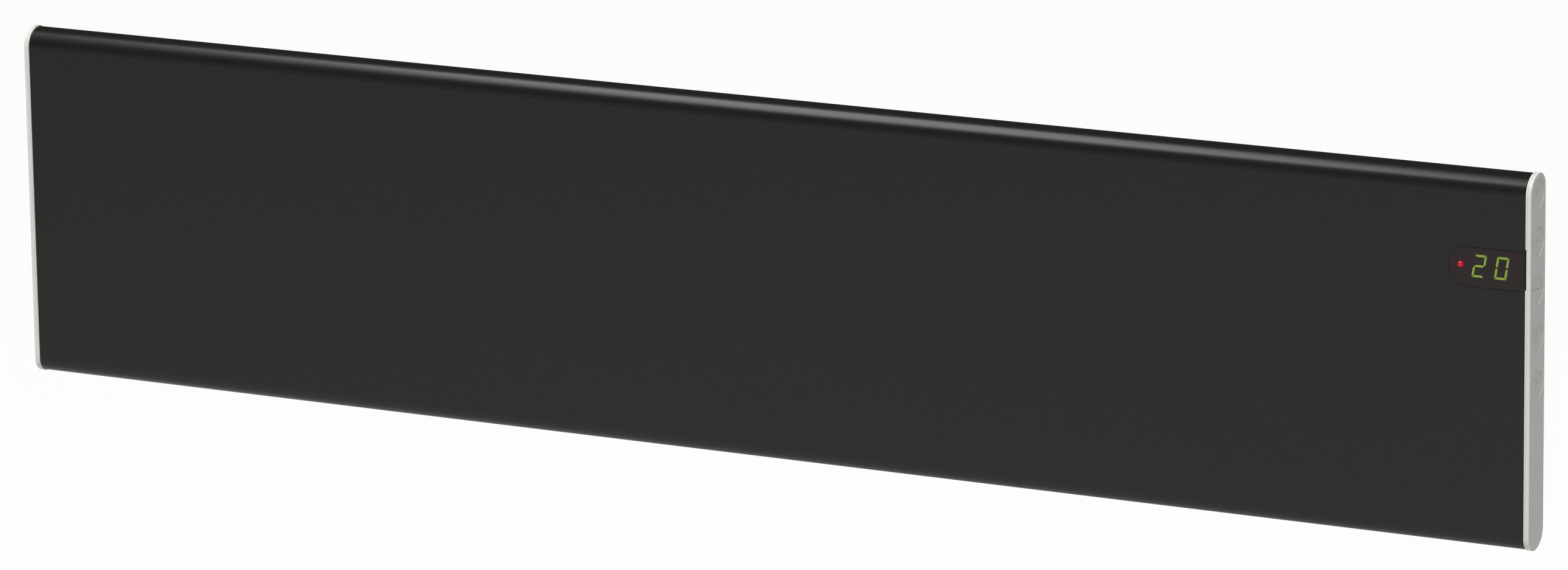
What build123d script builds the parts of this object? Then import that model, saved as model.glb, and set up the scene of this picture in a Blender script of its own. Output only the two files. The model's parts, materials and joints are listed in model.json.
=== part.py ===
from build123d import *
from math import asin, atan2, degrees, radians, tan
import os

os.makedirs("parts", exist_ok=True)

# A slim convector heater for a wall: a sheet-steel casing between two plastic end
# caps, hung on a wall bracket and hinged so that its top tilts forward.
# Millimetres. X runs along the heater, the front faces -Y, the wall is the plane
# y = 0 and +Z is up. The origin is the centre of the bracket's four wall screws.

# ---- casing ----
LENGTH = 1270.0          # over both end caps
HEIGHT = 275.0
DEPTH = 26.0             # of an end cap, front to back
LARGE_R = 15.3           # cap corners at the front top and the back bottom
STANDOFF = 27.0          # from the wall to the back of the caps
CAP_PROUD = 0.6          # the caps stand this far outside the steel casing
CAP_T = 4.2              # visible thickness of an end cap along X
COVER_T = 2.9            # of which the outer cover
GROOVE = 0.28            # shadow groove between cap plate and cover
CAP_EDGE_R = 0.5         # rounding round a cover's outer face
END_GAP = 0.7            # dark line between casing and cap: the plate of the end frame
LINE_DEEP = 0.4          # of that line below the casing's surface
SHEET = 1.0              # steel of the front panel
BACK_SHEET = 0.8         # steel of the back panel
FLANGE = 12.0            # flat of the front panel turned in behind, top and bottom
LAP = 10.0               # of the back panel under those flanges
FIT = 0.15               # clearance round pieces that slip into each other
SCREW_FIT = 0.1          # clearance round screw shanks and pegs
ARC_SHARE = 0.45         # of a wire's shorter run that its arc may use

# ---- end frames and how the caps are held ----
PLUG_DEPTH = 14.0
PLUG_WALL = 1.6
PLUG_STEP = 1.2          # inner step that the button board sits on
BOSS = 8.0               # screw boss, square
CAP_SCREW_IN = 9.0       # from the cap plate to the cap screws
PEG_R = 1.25
PEG_L = 1.8              # through the cap plate and into the end frame
LEFT_PEGS = 4
LEFT_PEG_IN = 27.5       # from the cap's top and keel to the outer pegs
RIGHT_PEGS = 3
RIGHT_PEG_UP = 17.5      # from the keel to the lowest peg
RIGHT_PEG_BELOW = 32.6   # from the last button's centre to the highest peg

# ---- air slots ----
SLOT_L = 14.0
SLOT_PITCH = 20.0
OUTLET_W = 5.0
INLET_W = 8.0
OUTLET_BEHIND = 5.5      # slot middle behind the casing's crest
INLET_BEHIND = 5.5       # slot middle behind the casing's keel
SLOTS_IN = 34.0          # from a cap's outer face to the end of the slot rows
CASING_SCREW_IN = 102.0  # from a cap's outer face to the first casing screws
LOUVRE_L = 22.0
LOUVRE_W = 5.0
LOUVRE_PITCH = 14.0
LOUVRE_DOWN = 44.5       # from the cap's top to the middle of the upper row
LOUVRE_UP = 71.5         # from the cap's keel to the middle of the lower row

# ---- push buttons on the right cap ----
BUTTONS = 5
BUTTON_R = 10.55
BUTTON_GAP = 0.12
BUTTON_PITCH = 34.8
BUTTON_DOWN = 14.4       # from the top of the cap to the first button's centre
BUTTON_TRAVEL = 0.8
BUTTON_LIP = 0.8         # thickness of the ears behind the cover
LIP_GAP = 0.1
EAR_W = 6.0
EAR_L = 1.6
RIM_W = 0.4              # flush rim round the sunken face
BEVEL_W = 0.7            # slope from the rim down to the face
SINK = 0.7               # depth of the face at the foot of that slope
DISH_DEEP = 0.3          # hollow of the face below that
STEM_R = 3.0
TIP_R = 1.5
TIP_L = 2.4
MARK_W = 0.9             # stroke of the engraved marks
MARK_DEEP = 0.35         # below the middle of the face
SIGN_HALF = 5.0          # half the strokes of plus and minus
FIGURE_HALF = 3.7        # half the height of a letter or figure, to its strokes' middles

# ---- boards and switches ----
BOARD_T = 1.6
BOARD_IN = 6.6           # from the cap plate's inner face to the button board
SWITCH = 6.0             # square body
SWITCH_T = 3.6
SWITCH_BORE_R = 1.7
SWITCH_BORE = 2.9
BUTTON_BOARD_ABOVE = 5.3  # board past the first and last button's centre
BUTTON_BOARD_BELOW = 10.5
PRESS_GAP = 0.3          # left between stem and switch at full travel

# ---- display ----
LENS_L = 58.4            # from its round end to its square end
LENS_H = 28.4
LENS_T = 1.5
LENS_PROUD = 0.1
LENS_GAP = 0.3           # round the lens in the front panel
LENS_DOWN = 69.7         # from the top of the cap to the lens's middle
NOTCH = 0.7              # of the cap plate beside the lens, filled by a lug of the end frame
NOTCH_H = 29.4
NOTCH_RISE = 1.8         # of the notch's middle above the lens's
LUG_DEEP = 0.1           # of the lug's face below the cap's front
LED_R = 2.5
LED_FROM_TIP = 9.0
LED_RISE = 1.4           # of the lamp above the lens's middle
LED_OUT = 1.6            # of the lamp's nose through the lens
LED_RIM_R = 2.9
LED_RIM_T = 1.0
DIGIT_H = 17.0
DIGIT_W = 12.6           # over the slant
DIGIT_STROKE = 2.1
DIGIT_SLANT = 9.0        # degrees
DIGIT_T = 0.3
DIGIT_GAP = 0.55         # between neighbouring strokes
DIGITS_FROM_TIP = (22.3, 39.6)
DIGITS_RISE = 0.4        # of the digits above the lens's middle
MODULE_L = 36.0
MODULE_H = 22.0
MODULE_T = 5.0
MODULE_EDGE = 0.8
MODULE_FROM_LENS = 1.3   # from the lens to the lit digits

# ---- electronics ----
TRAY_IN = 23.0           # from the right cap's outer face to the tray
TRAY_L = 142.0
TRAY_UP = 59.5           # from the cap's keel to the tray
TRAY_DOWN = 39.5         # from the cap's top to the tray
TRAY_T = 1.5
TRAY_RIM = 5.0
WIRE_ENTRY = 12.0        # gap in the tray's lower rim, beside earth screw and gland
POST_R = 3.0
POST_IN = 5.5            # of a post's centre from the edges of its board
CONTROL_RAISE = 3.0      # of the control board above the tray
CONTROL_L = 126.0
CONTROL_UP = 8.0         # from the tray's lower edge to the control board
BOARDS_APART = 13.8      # in height, from the control board to the display board
DISPLAY_BOARD_L = 49.0
DISPLAY_BOARD_H = 40.0

# ---- parts on the control board: across from its middle, up from its lower edge ----
CHIP_T = 1.2
CHIP_DOWN = 10.0         # row of chips, from the board's upper edge
CHIPS = ((-34.0, 8.0, 5.0), (-6.0, 12.0, 12.0), (30.0, 9.0, 6.0), (46.0, 6.0, 9.0))
RELAY_AT = (-44.0, 40.0)
RELAY = (19.0, 15.0, 15.5)   # along X, Y and Z
RELAY_EDGE = 0.8
TRANSFORMER_AT = (8.0, 44.0)
CORE = (22.0, 9.0, 20.0)
BOBBIN = (12.0, 13.0, 24.0)
CANS = ((36.0, 38.0, 5.0, 12.0), (50.0, 38.0, 5.0, 12.0), (-18.0, 46.0, 4.0, 9.0))
CAN_EDGE = 0.5
TERMINALS_AT = (34.0, 8.0)
TERMINAL_PITCH = 10.0
TERMINAL_H = 14.0
TERMINAL_T = 12.0
TERMINAL_SCREW_R = 2.6
TERMINAL_SCREW_UP = 2.0
TERMINAL_PORT = 5.0

# ---- heating element ----
ELEMENT_IN = 75.0        # from the left cap's outer face to the fins
ELEMENT_TO_TRAY = 40.0
ELEMENT_UP = 92.5        # from the cap's keel to the rod
ROD_R = 4.0
ROD_OUT = 18.0           # of the rod past the fins
ROD_FIT = 0.1
HUB_R = 6.6
WING_T = 1.5
WING_L = 30.0
WING_CLEAR = 1.0         # between the wings' tips and the heat shield
BUSH_R = 5.5
BUSH_L = 10.0
BUSH_RIM_R = 7.5
BUSH_RIM_T = 2.0
BUSH_OFF = 1.0           # from the fins to the bush
HOLDER_T = 1.2
HOLDER_H = 34.0
HOLDER_FOOT = 14.0
PIN_OUT = 10.0
PIN_R = 1.5
SPADE = (6.3, 0.8, 8.0)
SHIELD_T = 0.6
SHIELD_OFF = 2.0         # between shield and front panel
SHIELD_UP = 37.5         # from the cap's keel to the shield
SHIELD_DOWN = 79.5       # from the cap's top to the shield
SHIELD_LEGS = 4
LEG_IN = 20.0            # of the outer legs from the ends of the fins
LEG_W = 20.0
FOOT = 8.0
CUTOUT_R = 8.0
CUTOUT_T = 7.0
CUTOUT_UP = 53.0         # above the rod
CUTOUT_EARS = 24.0
CUTOUT_EAR_T = 0.8

# ---- small fittings and leads ----
GLAND_IN = 60.0          # from the right cap's outer face
GLAND_UP = 45.5          # from the cap's keel
GLAND_BORE_R = 3.6
GLAND_BODY_R = 6.0
GLAND_FLANGE_R = 9.5
GLAND_FLANGE_T = 3.0
GLAND_NOSE = 7.6
GLAND_NUT = 8.5
GLAND_NUT_T = 4.0
GLAND_TAPER = 1.5        # the nose is this much wider at its root
GLAND_THREAD = 2.0       # past the nut
EARTH_IN = 97.0          # from the right cap's outer face
EARTH_UP = 40.5          # from the cap's keel
EARTH_RING_R = 3.9
EARTH_TAG = 11.0         # length of the ring tag's tail
EARTH_TAG_W = 3.0
TAG_T = 1.2
SCREW_R = 1.45
SCREW_HEAD_R = 3.1
SCREW_HEAD_T = 1.8
SCREW_END = 3.2
SCREW_EDGE = 0.7
CROSS_L = 3.4
CROSS_W = 0.8
CROSS_DEEP = 1.1
CASING_SCREWS = 6        # in each of the two rows
SENSOR_R = 2.2
SENSOR_L = 12.0
SENSOR_UP = 9.0          # above the keel of the cap
CLIP_WALL = 1.4
LEAD_R = 1.2
FINE_LEAD_R = 0.7
LEAD_RISE = 6.5          # of a lead straight out of its end
LEAD_IN = 7.0            # of a lead's end from the edges of the control board
LOOM_BELOW = 2.0         # the long lead runs this far below the casing's opening
LOOM_SHORT = 21.0        # and ends this far before the tray
LOOM_TURN = 20.0         # where it swings down and along
LOOM_RISE = (24.0, 10.0)  # across and up to the tray
LOOM_IN = 21.0           # of its end from the control board's edge
SENSOR_TURN = 26.0       # height at which the sensor's lead turns to the board
EARTH_TURN = (4.0, 3.0, 7.0)  # forward, and up before and after the bend

# ---- wall bracket ----
HANG_X = 300.0           # of each upright from the middle
BRACKET_T = 1.5
UPRIGHT_W = 34.0
UPRIGHT_DEEP = 12.0
UPRIGHT_PAST = 9.0       # of the raised channel past the pins
TAB_L = 20.0             # flat tab beyond each end of a channel
WALL_HOLE_R = 3.0
RAIL_HALF = 20.0
RAIL_LIP = 9.0
PIVOT_OUT = 6.0          # from the channel's face to the hinge pins and catch pins
PIN_IN = 42.5            # from the cap's top and keel to those pins
HINGE_PIN_R = 3.0
CATCH_PIN_R = 2.5
PIVOT_FIT = 0.05
HOOK_T = 2.5
HOOK_WALL = 3.4
HOOK_LIP_UP = 7.0
YOKE_T = 2.0
YOKE_GAP = 24.0          # between the ears
YOKE_H = 26.0
EAR_R = 5.0
PIN_HEAD_R = 4.5
PIN_HEAD_T = 1.5
CLIP_T = 1.2
CLIP_W = 14.0
CLIP_PLAY = 0.4          # round the catch pin
CLIP_LEAF = 4.8          # length of the leaves in front of the pin
CLIP_FLARE = 1.6
RIVET_R = 1.6
RIVET_HEAD_R = 2.9
RIVET_HEAD_T = 1.4
RIVET_DOWN = 8.0         # below the catch pin
CLIP_FOOT = 1.0          # of the clip's base past its rivet
BUFFER_R = 7.0
BUFFER_DOWN = 45.0       # below the catch pin
BUFFER_NECK_R = 3.0
BUFFER_PLAY = 0.1

# ---- places worked out from the sizes above ----
SMALL_R = DEPTH - LARGE_R
BACK_Y = -STANDOFF
FRONT_Y = BACK_Y - DEPTH
MID_Y = (BACK_Y + FRONT_Y) / 2
TOP_Z = HEIGHT / 2
CREST_Y = FRONT_Y + LARGE_R
KEEL_Y = FRONT_Y + SMALL_R
END_X = LENGTH / 2
PLATE_X = END_X - CAP_T               # inner face of the cap's plate
SPLIT_X = END_X - COVER_T             # cap plate meets cover
PANEL_X = PLATE_X - END_GAP           # end of the steel casing
SKIN_BACK_Y = BACK_Y - CAP_PROUD      # outer faces of the steel casing
SKIN_FRONT_Y = FRONT_Y + CAP_PROUD
BACK_OUT_Y = SKIN_BACK_Y - SHEET      # back panel, outer face
BACK_IN_Y = BACK_OUT_Y - BACK_SHEET   # back panel, inner face
FRONT_IN_Y = SKIN_FRONT_Y + SHEET
OPEN_LOW = -TOP_Z + LARGE_R + FLANGE  # opening between the front panel's flanges
OPEN_HIGH = TOP_Z - SMALL_R - FLANGE
PLUG_INSET = CAP_PROUD + SHEET + FIT
PLUG_X = PLATE_X - PLUG_DEPTH
CAP_SCREW_X = PLATE_X - CAP_SCREW_IN
BOARD_X = PLATE_X - BOARD_IN          # outer face of the button board
BUTTON_Z = [TOP_Z - BUTTON_DOWN - i * BUTTON_PITCH for i in range(BUTTONS)]
LIP_OUT_X = SPLIT_X - LIP_GAP
LIP_IN_X = LIP_OUT_X - BUTTON_LIP
SWITCH_TOP_X = BOARD_X + SWITCH_T
STEM_END_X = SWITCH_TOP_X + PRESS_GAP + BUTTON_TRAVEL
LENS_Z = TOP_Z - LENS_DOWN
LENS_RIGHT_X = PANEL_X
LENS_TIP_X = LENS_RIGHT_X - LENS_L
LENS_FACE_Y = SKIN_FRONT_Y - LENS_PROUD
LENS_IN_Y = LENS_FACE_Y + LENS_T
DIGIT_FACE_Y = LENS_IN_Y + MODULE_FROM_LENS
MODULE_FACE_Y = DIGIT_FACE_Y + DIGIT_T
DISPLAY_BOARD_Y = MODULE_FACE_Y + MODULE_T
DIGITS_Z = LENS_Z + DIGITS_RISE
MODULE_X = LENS_TIP_X + sum(DIGITS_FROM_TIP) / 2
LED_X = LENS_TIP_X + LED_FROM_TIP
LED_Z = LENS_Z + LED_RISE
TRAY = (END_X - TRAY_IN - TRAY_L, END_X - TRAY_IN)
TRAY_Z = (-TOP_Z + TRAY_UP, TOP_Z - TRAY_DOWN)
TRAY_FACE_Y = BACK_IN_Y - TRAY_T
CONTROL_BACK_Y = TRAY_FACE_Y - CONTROL_RAISE
CONTROL_Y = CONTROL_BACK_Y - BOARD_T  # face that carries the components
CONTROL_X = sum(TRAY) / 2
CONTROL_Z = (TRAY_Z[0] + CONTROL_UP, LENS_Z - DISPLAY_BOARD_H / 2 - BOARDS_APART)
ELEMENT = (-END_X + ELEMENT_IN, TRAY[0] - ELEMENT_TO_TRAY)
ELEMENT_Z = -TOP_Z + ELEMENT_UP
SHIELD_Y = FRONT_IN_Y + SHIELD_OFF    # front face of the heat shield
SHIELD_Z = (-TOP_Z + SHIELD_UP, TOP_Z - SHIELD_DOWN)
GLAND_X = END_X - GLAND_IN
GLAND_Z = -TOP_Z + GLAND_UP
EARTH_X = END_X - EARTH_IN
EARTH_Z = -TOP_Z + EARTH_UP
SENSOR_Z = -TOP_Z + SENSOR_UP
WEB_Y = -UPRIGHT_DEEP
PIVOT_Y = WEB_Y - PIVOT_OUT
PIN_Z = TOP_Z - PIN_IN                # catch pins at +PIN_Z, hinge pins at -PIN_Z
UPRIGHT_HALF = PIN_Z + UPRIGHT_PAST
BUFFER_Z = PIN_Z - BUFFER_DOWN
FLANGE_SCREW_Z = (OPEN_HIGH + FLANGE / 2, OPEN_LOW - FLANGE / 2)
OVER = 1.0                            # cutters run past what they cut


# ---- helpers ----
def block(x, y, z):
    """A box from three (low, high) spans."""
    middle = Pos((x[0] + x[1]) / 2, (y[0] + y[1]) / 2, (z[0] + z[1]) / 2)
    return middle * Box(abs(x[1] - x[0]), abs(y[1] - y[0]), abs(z[1] - z[0]))


def around(middle, width):
    """The span of the given width round a middle."""
    return middle - width / 2, middle + width / 2


def spread(first, last, count):
    """Evenly spaced values from the first to the last."""
    return [first + (last - first) * i / (count - 1) for i in range(count)]


def rod_x(span, y, z, radius):
    return Pos(sum(span) / 2, y, z) * Rot(0, 90, 0) * Cylinder(radius, abs(span[1] - span[0]))


def rod_y(span, x, z, radius):
    return Pos(x, sum(span) / 2, z) * Rot(90, 0, 0) * Cylinder(radius, abs(span[1] - span[0]))


def both_sides(shape):
    """The shape and its mirror image across the middle of the heater."""
    return shape, mirror(shape, about=Plane.YZ)


def group(solids):
    """Separate solids kept together in one sub-part."""
    return Compound(children=list(solids))


def side_outline(inset):
    """The casing's side view, drawn in from the end cap's edge by inset."""
    front, back = FRONT_Y + inset, BACK_Y - inset
    low, high = -TOP_Z + inset, TOP_Z - inset
    large, small = LARGE_R - inset, SMALL_R - inset
    return make_face([
        Line((front, low + small), (front, high - large)),
        CenterArc((CREST_Y, high - large), large, 180, -90),
        CenterArc((CREST_Y, high - small), small, 90, -90),
        Line((back, high - small), (back, low + large)),
        CenterArc((KEEL_Y, low + large), large, 0, -90),
        CenterArc((KEEL_Y, low + small), small, 270, -90),
    ])


def slab(inset, x):
    """The side outline extruded over an X span."""
    return extrude(Plane.YZ.offset(x[0]) * side_outline(inset), amount=x[1] - x[0])


def ring(inset, wall, x):
    return slab(inset, x) - slab(inset + wall, (x[0] - OVER, x[1] + OVER))


def side_plate(sketch, x):
    """A sketch in Y-Z extruded over an X span."""
    return extrude(Plane.YZ.offset(x[0]) * sketch, amount=x[1] - x[0])


def front_plate(sketch, back_y, thickness):
    """A sketch in X-Z extruded forward from the plane y = back_y."""
    return extrude(Plane.XZ.offset(-back_y) * sketch, amount=thickness)


def screw(x, z, seat_y, grip):
    """A cross-head screw driven in from behind, with its head on seat_y."""
    head_y = seat_y + SCREW_HEAD_T
    head = rod_y((seat_y, head_y), x, z, SCREW_HEAD_R)
    head = fillet(head.edges().group_by(Axis.Y)[-1], SCREW_EDGE)
    deep = (head_y - CROSS_DEEP, head_y + OVER)
    for wide, high in ((CROSS_L, CROSS_W), (CROSS_W, CROSS_L)):
        head -= block(around(x, wide), deep, around(z, high))
    return head + rod_y((seat_y - grip - SCREW_END, seat_y), x, z, SCREW_R)


def lead(points, radius):
    """A wire: straight runs joined by arcs as large as the runs allow."""
    corners = [Vector(*point) for point in points]
    bends = []
    for before, here, after in zip(corners, corners[1:], corners[2:]):
        run = min((here - before).length, (after - here).length)
        turn = (here - before).get_angle(after - here)
        bends.append(ARC_SHARE * run / tan(radians(turn / 2)))
    path = FilletPolyline(*corners, radius=bends)
    return sweep(Plane(origin=path @ 0, z_dir=path % 0) * Circle(radius), path=path)


# ---- steel casing ----
def slot_row(length, width, pitch, x_span, turn=0):
    """A row of round-ended slots along X, centred on the origin of its plane."""
    count = int((x_span[1] - x_span[0] - length) / pitch) + 1
    places = Pos((x_span[0] + x_span[1]) / 2, 0) * GridLocations(pitch, 0, count, 1)
    return [place * Rot(0, 0, turn) * SlotOverall(length, width) for place in places]


def air_slots():
    """Cutters for the outlet behind the crest and the inlet behind the keel."""
    reach = (-END_X + SLOTS_IN, END_X - SLOTS_IN)
    cutters = []
    for slot in slot_row(SLOT_L, OUTLET_W, SLOT_PITCH, reach):
        cutters.append(extrude(Pos(0, CREST_Y + OUTLET_BEHIND, TOP_Z - SMALL_R) * slot, SMALL_R + OVER))
    for slot in slot_row(SLOT_L, INLET_W, SLOT_PITCH, reach):
        cutters.append(extrude(Pos(0, KEEL_Y + INLET_BEHIND, -TOP_Z - OVER) * slot, LARGE_R))
    return cutters


def lens_outline(grow):
    radius = LENS_H / 2 + grow
    centre = LENS_TIP_X + LENS_H / 2
    right = LENS_RIGHT_X + grow
    return Pos(centre, LENS_Z) * Circle(radius) + \
        Pos((centre + right) / 2, LENS_Z) * Rectangle(right - centre, 2 * radius)


def casing_screw_places():
    reach = END_X - CASING_SCREW_IN
    return [(x, z) for x in spread(-reach, reach, CASING_SCREWS) for z in FLANGE_SCREW_Z]


def cap_screw_places():
    return [(side * CAP_SCREW_X, z) for side in (-1, 1) for z in FLANGE_SCREW_Z]


def front_panel():
    """One bent sheet: front, rounded top and bottom, and two flanges behind."""
    sheet = ring(CAP_PROUD, SHEET, (-PANEL_X, PANEL_X))
    wide = (-PANEL_X - OVER, PANEL_X + OVER)
    sheet -= block(wide, (BACK_OUT_Y - OVER / 2, SKIN_BACK_Y + OVER), (OPEN_LOW, OPEN_HIGH))
    sheet -= front_plate(lens_outline(LENS_GAP), FRONT_IN_Y + OVER, SHEET + 2 * OVER)
    holes = [rod_y((BACK_OUT_Y - OVER, SKIN_BACK_Y + OVER), x, z, SCREW_R + SCREW_FIT)
             for x, z in casing_screw_places() + cap_screw_places()]
    return sheet - air_slots() - holes


def back_panel():
    """Flat sheet lapped under the flanges, with two rows of upright slots."""
    reach = PLUG_X - FIT
    sheet = block((-reach, reach), (BACK_IN_Y, BACK_OUT_Y), (OPEN_LOW - LAP, OPEN_HIGH + LAP))
    span = (-END_X + SLOTS_IN, TRAY[0] - LOUVRE_PITCH)
    keep_out = UPRIGHT_W / 2 + LOUVRE_W
    cutters = []
    for z in (TOP_Z - LOUVRE_DOWN, -TOP_Z + LOUVRE_UP):
        for slot in slot_row(LOUVRE_L, LOUVRE_W, LOUVRE_PITCH, span, turn=90):
            if abs(abs(slot.center().X) - HANG_X) > keep_out:
                cutters.append(front_plate(Pos(0, z) * slot, BACK_OUT_Y + OVER, BACK_SHEET + 2 * OVER))
    for x, z in casing_screw_places():
        cutters.append(rod_y((BACK_IN_Y - OVER, BACK_OUT_Y + OVER), x, z, SCREW_R + SCREW_FIT))
    cutters.append(rod_y((BACK_IN_Y - OVER, BACK_OUT_Y + OVER), GLAND_X, GLAND_Z, GLAND_BODY_R + SCREW_FIT))
    cutters.append(rod_y((BACK_IN_Y - OVER, BACK_OUT_Y + OVER), EARTH_X, EARTH_Z, SCREW_R + SCREW_FIT))
    return sheet - cutters


def casing_screws():
    return group(screw(x, z, SKIN_BACK_Y, SHEET + BACK_SHEET) for x, z in casing_screw_places())


def cap_screws():
    return group(screw(x, z, SKIN_BACK_Y, SHEET + FIT + PLUG_WALL) for x, z in cap_screw_places())


# ---- end frames and caps, drawn at the right end ----
def left_pegs():
    return spread(-TOP_Z + LEFT_PEG_IN, TOP_Z - LEFT_PEG_IN, LEFT_PEGS)


def right_pegs():
    return spread(-TOP_Z + RIGHT_PEG_UP, BUTTON_Z[-1] - RIGHT_PEG_BELOW, RIGHT_PEGS)


def peg_holes(pegs):
    return [rod_x((PANEL_X - OVER, SPLIT_X + OVER), MID_Y, z, PEG_R + SCREW_FIT) for z in pegs]


def cap_boss(z, grow):
    """Block that a cap screw bites into."""
    size = BOSS + 2 * grow
    return block(around(CAP_SCREW_X, size), (BACK_OUT_Y - BOSS - grow, BACK_OUT_Y + OVER), around(z, size))


def cap_screw_holes():
    deep = BACK_OUT_Y - BOSS + PLUG_WALL / 2
    return [rod_y((deep, SKIN_BACK_Y), CAP_SCREW_X, z, SCREW_R + SCREW_FIT) for z in FLANGE_SCREW_Z]


def end_frame(pegs):
    """Dark frame that closes the casing: a plate against its end and a plug inside it."""
    frame = slab(CAP_PROUD + LINE_DEEP, (PANEL_X, PLATE_X)) + ring(PLUG_INSET, PLUG_WALL, (PLUG_X, PANEL_X))
    inside = slab(PLUG_INSET, (PLUG_X, PANEL_X))
    for z in FLANGE_SCREW_Z:
        frame += cap_boss(z, 0) & inside
    return frame - peg_holes(pegs)


def cap_plate(pegs):
    """The cap's inner layer, stepped back beside the cover to leave a groove."""
    plate = slab(0, (PLATE_X, SPLIT_X - GROOVE)) + slab(GROOVE, (SPLIT_X - GROOVE, SPLIT_X))
    return plate - peg_holes(pegs)


def cap_cover(pegs):
    """The cap's outer layer, softly rounded, with pegs behind."""
    cover = slab(0, (SPLIT_X, END_X))
    cover = fillet(cover.faces().sort_by(Axis.X)[-1].edges(), CAP_EDGE_R)
    for z in pegs:
        cover += rod_x((SPLIT_X - PEG_L, SPLIT_X), MID_Y, z, PEG_R)
    return cover


def sensor_clip():
    """Saddle at the foot of the right end frame that holds the room sensor."""
    width = 2 * (SENSOR_R + CLIP_WALL)
    middle = PLUG_X + PLUG_DEPTH / 2
    saddle = block(around(middle, SENSOR_L / 2), around(KEEL_Y, width), (-TOP_Z, SENSOR_Z + SENSOR_R / 2))
    saddle &= slab(PLUG_INSET, (PLUG_X, PANEL_X))
    return saddle - rod_x((PLUG_X, PLATE_X), KEEL_Y, SENSOR_Z, SENSOR_R + SCREW_FIT)


def button_openings():
    """Cutters for the buttons and their ears, through plate and frame."""
    deep = (PANEL_X - OVER, SPLIT_X + OVER)
    ears = 2 * (BUTTON_R + EAR_L + FIT)
    cutters = []
    for z in BUTTON_Z:
        cutters.append(rod_x(deep, MID_Y, z, BUTTON_R + BUTTON_GAP))
        cutters.append(block(deep, around(MID_Y, EAR_W + 2 * FIT), around(z, ears)))
    return cutters


def lens_lug(grow):
    """Dark lug of the end frame that shows in the cap's notch beside the lens."""
    face = FRONT_Y + LUG_DEEP - grow
    high = around(LENS_Z + NOTCH_RISE, NOTCH_H + 2 * grow)
    return block((PANEL_X, PLATE_X + NOTCH + grow), (face, LENS_IN_Y), high)


def left_end_frame():
    return mirror(end_frame(left_pegs()) - cap_screw_holes(), about=Plane.YZ)


def left_cap_plate():
    return mirror(cap_plate(left_pegs()), about=Plane.YZ)


def left_cap_cover():
    return mirror(cap_cover(left_pegs()), about=Plane.YZ)


def right_end_frame():
    """As the left one, with a step for the button board, room for the display and a sensor clip."""
    frame = end_frame(right_pegs())
    frame += ring(PLUG_INSET + PLUG_WALL, PLUG_STEP, (PLUG_X, BOARD_X - BOARD_T))
    frame += sensor_clip()
    window = FRONT_Y + PLUG_INSET + PLUG_WALL + PLUG_STEP + OVER
    frame -= block((PLUG_X - OVER, PANEL_X), (FRONT_Y - OVER, window), around(LENS_Z, LENS_H + 2 * LENS_GAP))
    return frame - cap_screw_holes() - button_openings() + lens_lug(0)


def right_cap_plate():
    return cap_plate(right_pegs()) - button_openings() - lens_lug(SCREW_FIT)


def right_cap_cover():
    deep = (SPLIT_X - OVER, END_X + OVER)
    return cap_cover(right_pegs()) - [rod_x(deep, MID_Y, z, BUTTON_R + BUTTON_GAP) for z in BUTTON_Z]


# ---- push buttons ----
def stroke(start, end):
    """A round-ended stroke between two points of a mark, (across, up)."""
    run = Vector(*end) - Vector(*start)
    middle = Vector(*start) + run / 2
    place = Pos(middle.X, middle.Y) * Rot(0, 0, degrees(atan2(run.Y, run.X)))
    return place * SlotCenterToCenter(run.length, MARK_W)


def mark_strokes(name):
    """Straight strokes of a button's mark: across (+Y) and up, seen from the right."""
    top = FIGURE_HALF
    return {
        "program": [((-2.2, -top), (-2.2, top)), ((-2.2, top), (0.4, top)), ((-2.2, 0.0), (0.4, 0.0))],
        "plus": [((-SIGN_HALF, 0.0), (SIGN_HALF, 0.0)), ((0.0, -SIGN_HALF), (0.0, SIGN_HALF))],
        "minus": [((-SIGN_HALF, 0.0), (SIGN_HALF, 0.0))],
        "five": [((2.4, top), (-1.6, top)), ((-1.6, top), (-2.0, 0.7)), ((-2.0, 0.7), (0.1, 1.0))],
        "seven": [((-2.5, top), (2.5, top)), ((2.5, top), (-0.7, -top))],
    }[name]


def mark_bow(name):
    """The round stroke of a mark: middle, radius, start and sweep in degrees."""
    return {"program": ((0.4, 1.85), 1.85, 90, -180), "five": ((0.0, -1.35), 2.35, 90, -215)}.get(name)


def sector(radius, start, turn):
    """The part of a disc between two angles."""
    rim = CenterArc((0, 0), radius, start, turn)
    return make_face([Line((0, 0), rim @ 0), rim, Line(rim @ 1, (0, 0))])


def engraved_mark(name):
    """The mark, drawn flat at the origin."""
    sketch = Sketch() + [stroke(start, end) for start, end in mark_strokes(name)]
    bent = mark_bow(name)
    if bent:
        middle, radius, start, turn = bent
        bow = Circle(radius + MARK_W / 2) - Circle(radius - MARK_W / 2)
        sketch += Pos(*middle) * (bow & sector(radius + MARK_W, start, turn))
    return sketch


def push_button(name, z):
    """A button with a sunken engraved face, two ears behind the cover and a stem to its switch."""
    cap = rod_x((LIP_IN_X, END_X), MID_Y, z, BUTTON_R)
    face_r = BUTTON_R - RIM_W - BEVEL_W
    sunk = Pos(END_X - SINK / 2, MID_Y, z) * Rot(0, 90, 0)
    cap -= sunk * Cone(face_r, face_r + BEVEL_W, SINK)
    ball = (face_r ** 2 + DISH_DEEP ** 2) / (2 * DISH_DEEP)
    cap -= Pos(END_X - SINK - DISH_DEEP + ball, MID_Y, z) * Sphere(ball)
    cap += block((LIP_IN_X, LIP_OUT_X), around(MID_Y, EAR_W), around(z, 2 * (BUTTON_R + EAR_L)))
    cap += rod_x((STEM_END_X, LIP_IN_X), MID_Y, z, STEM_R)
    cap += rod_x((STEM_END_X - TIP_L, STEM_END_X), MID_Y, z, TIP_R)
    floor = Plane(origin=(END_X - SINK - DISH_DEEP - MARK_DEEP, MID_Y, z), x_dir=(0, 1, 0), z_dir=(1, 0, 0))
    return cap - extrude(floor * engraved_mark(name), amount=SINK)


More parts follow.
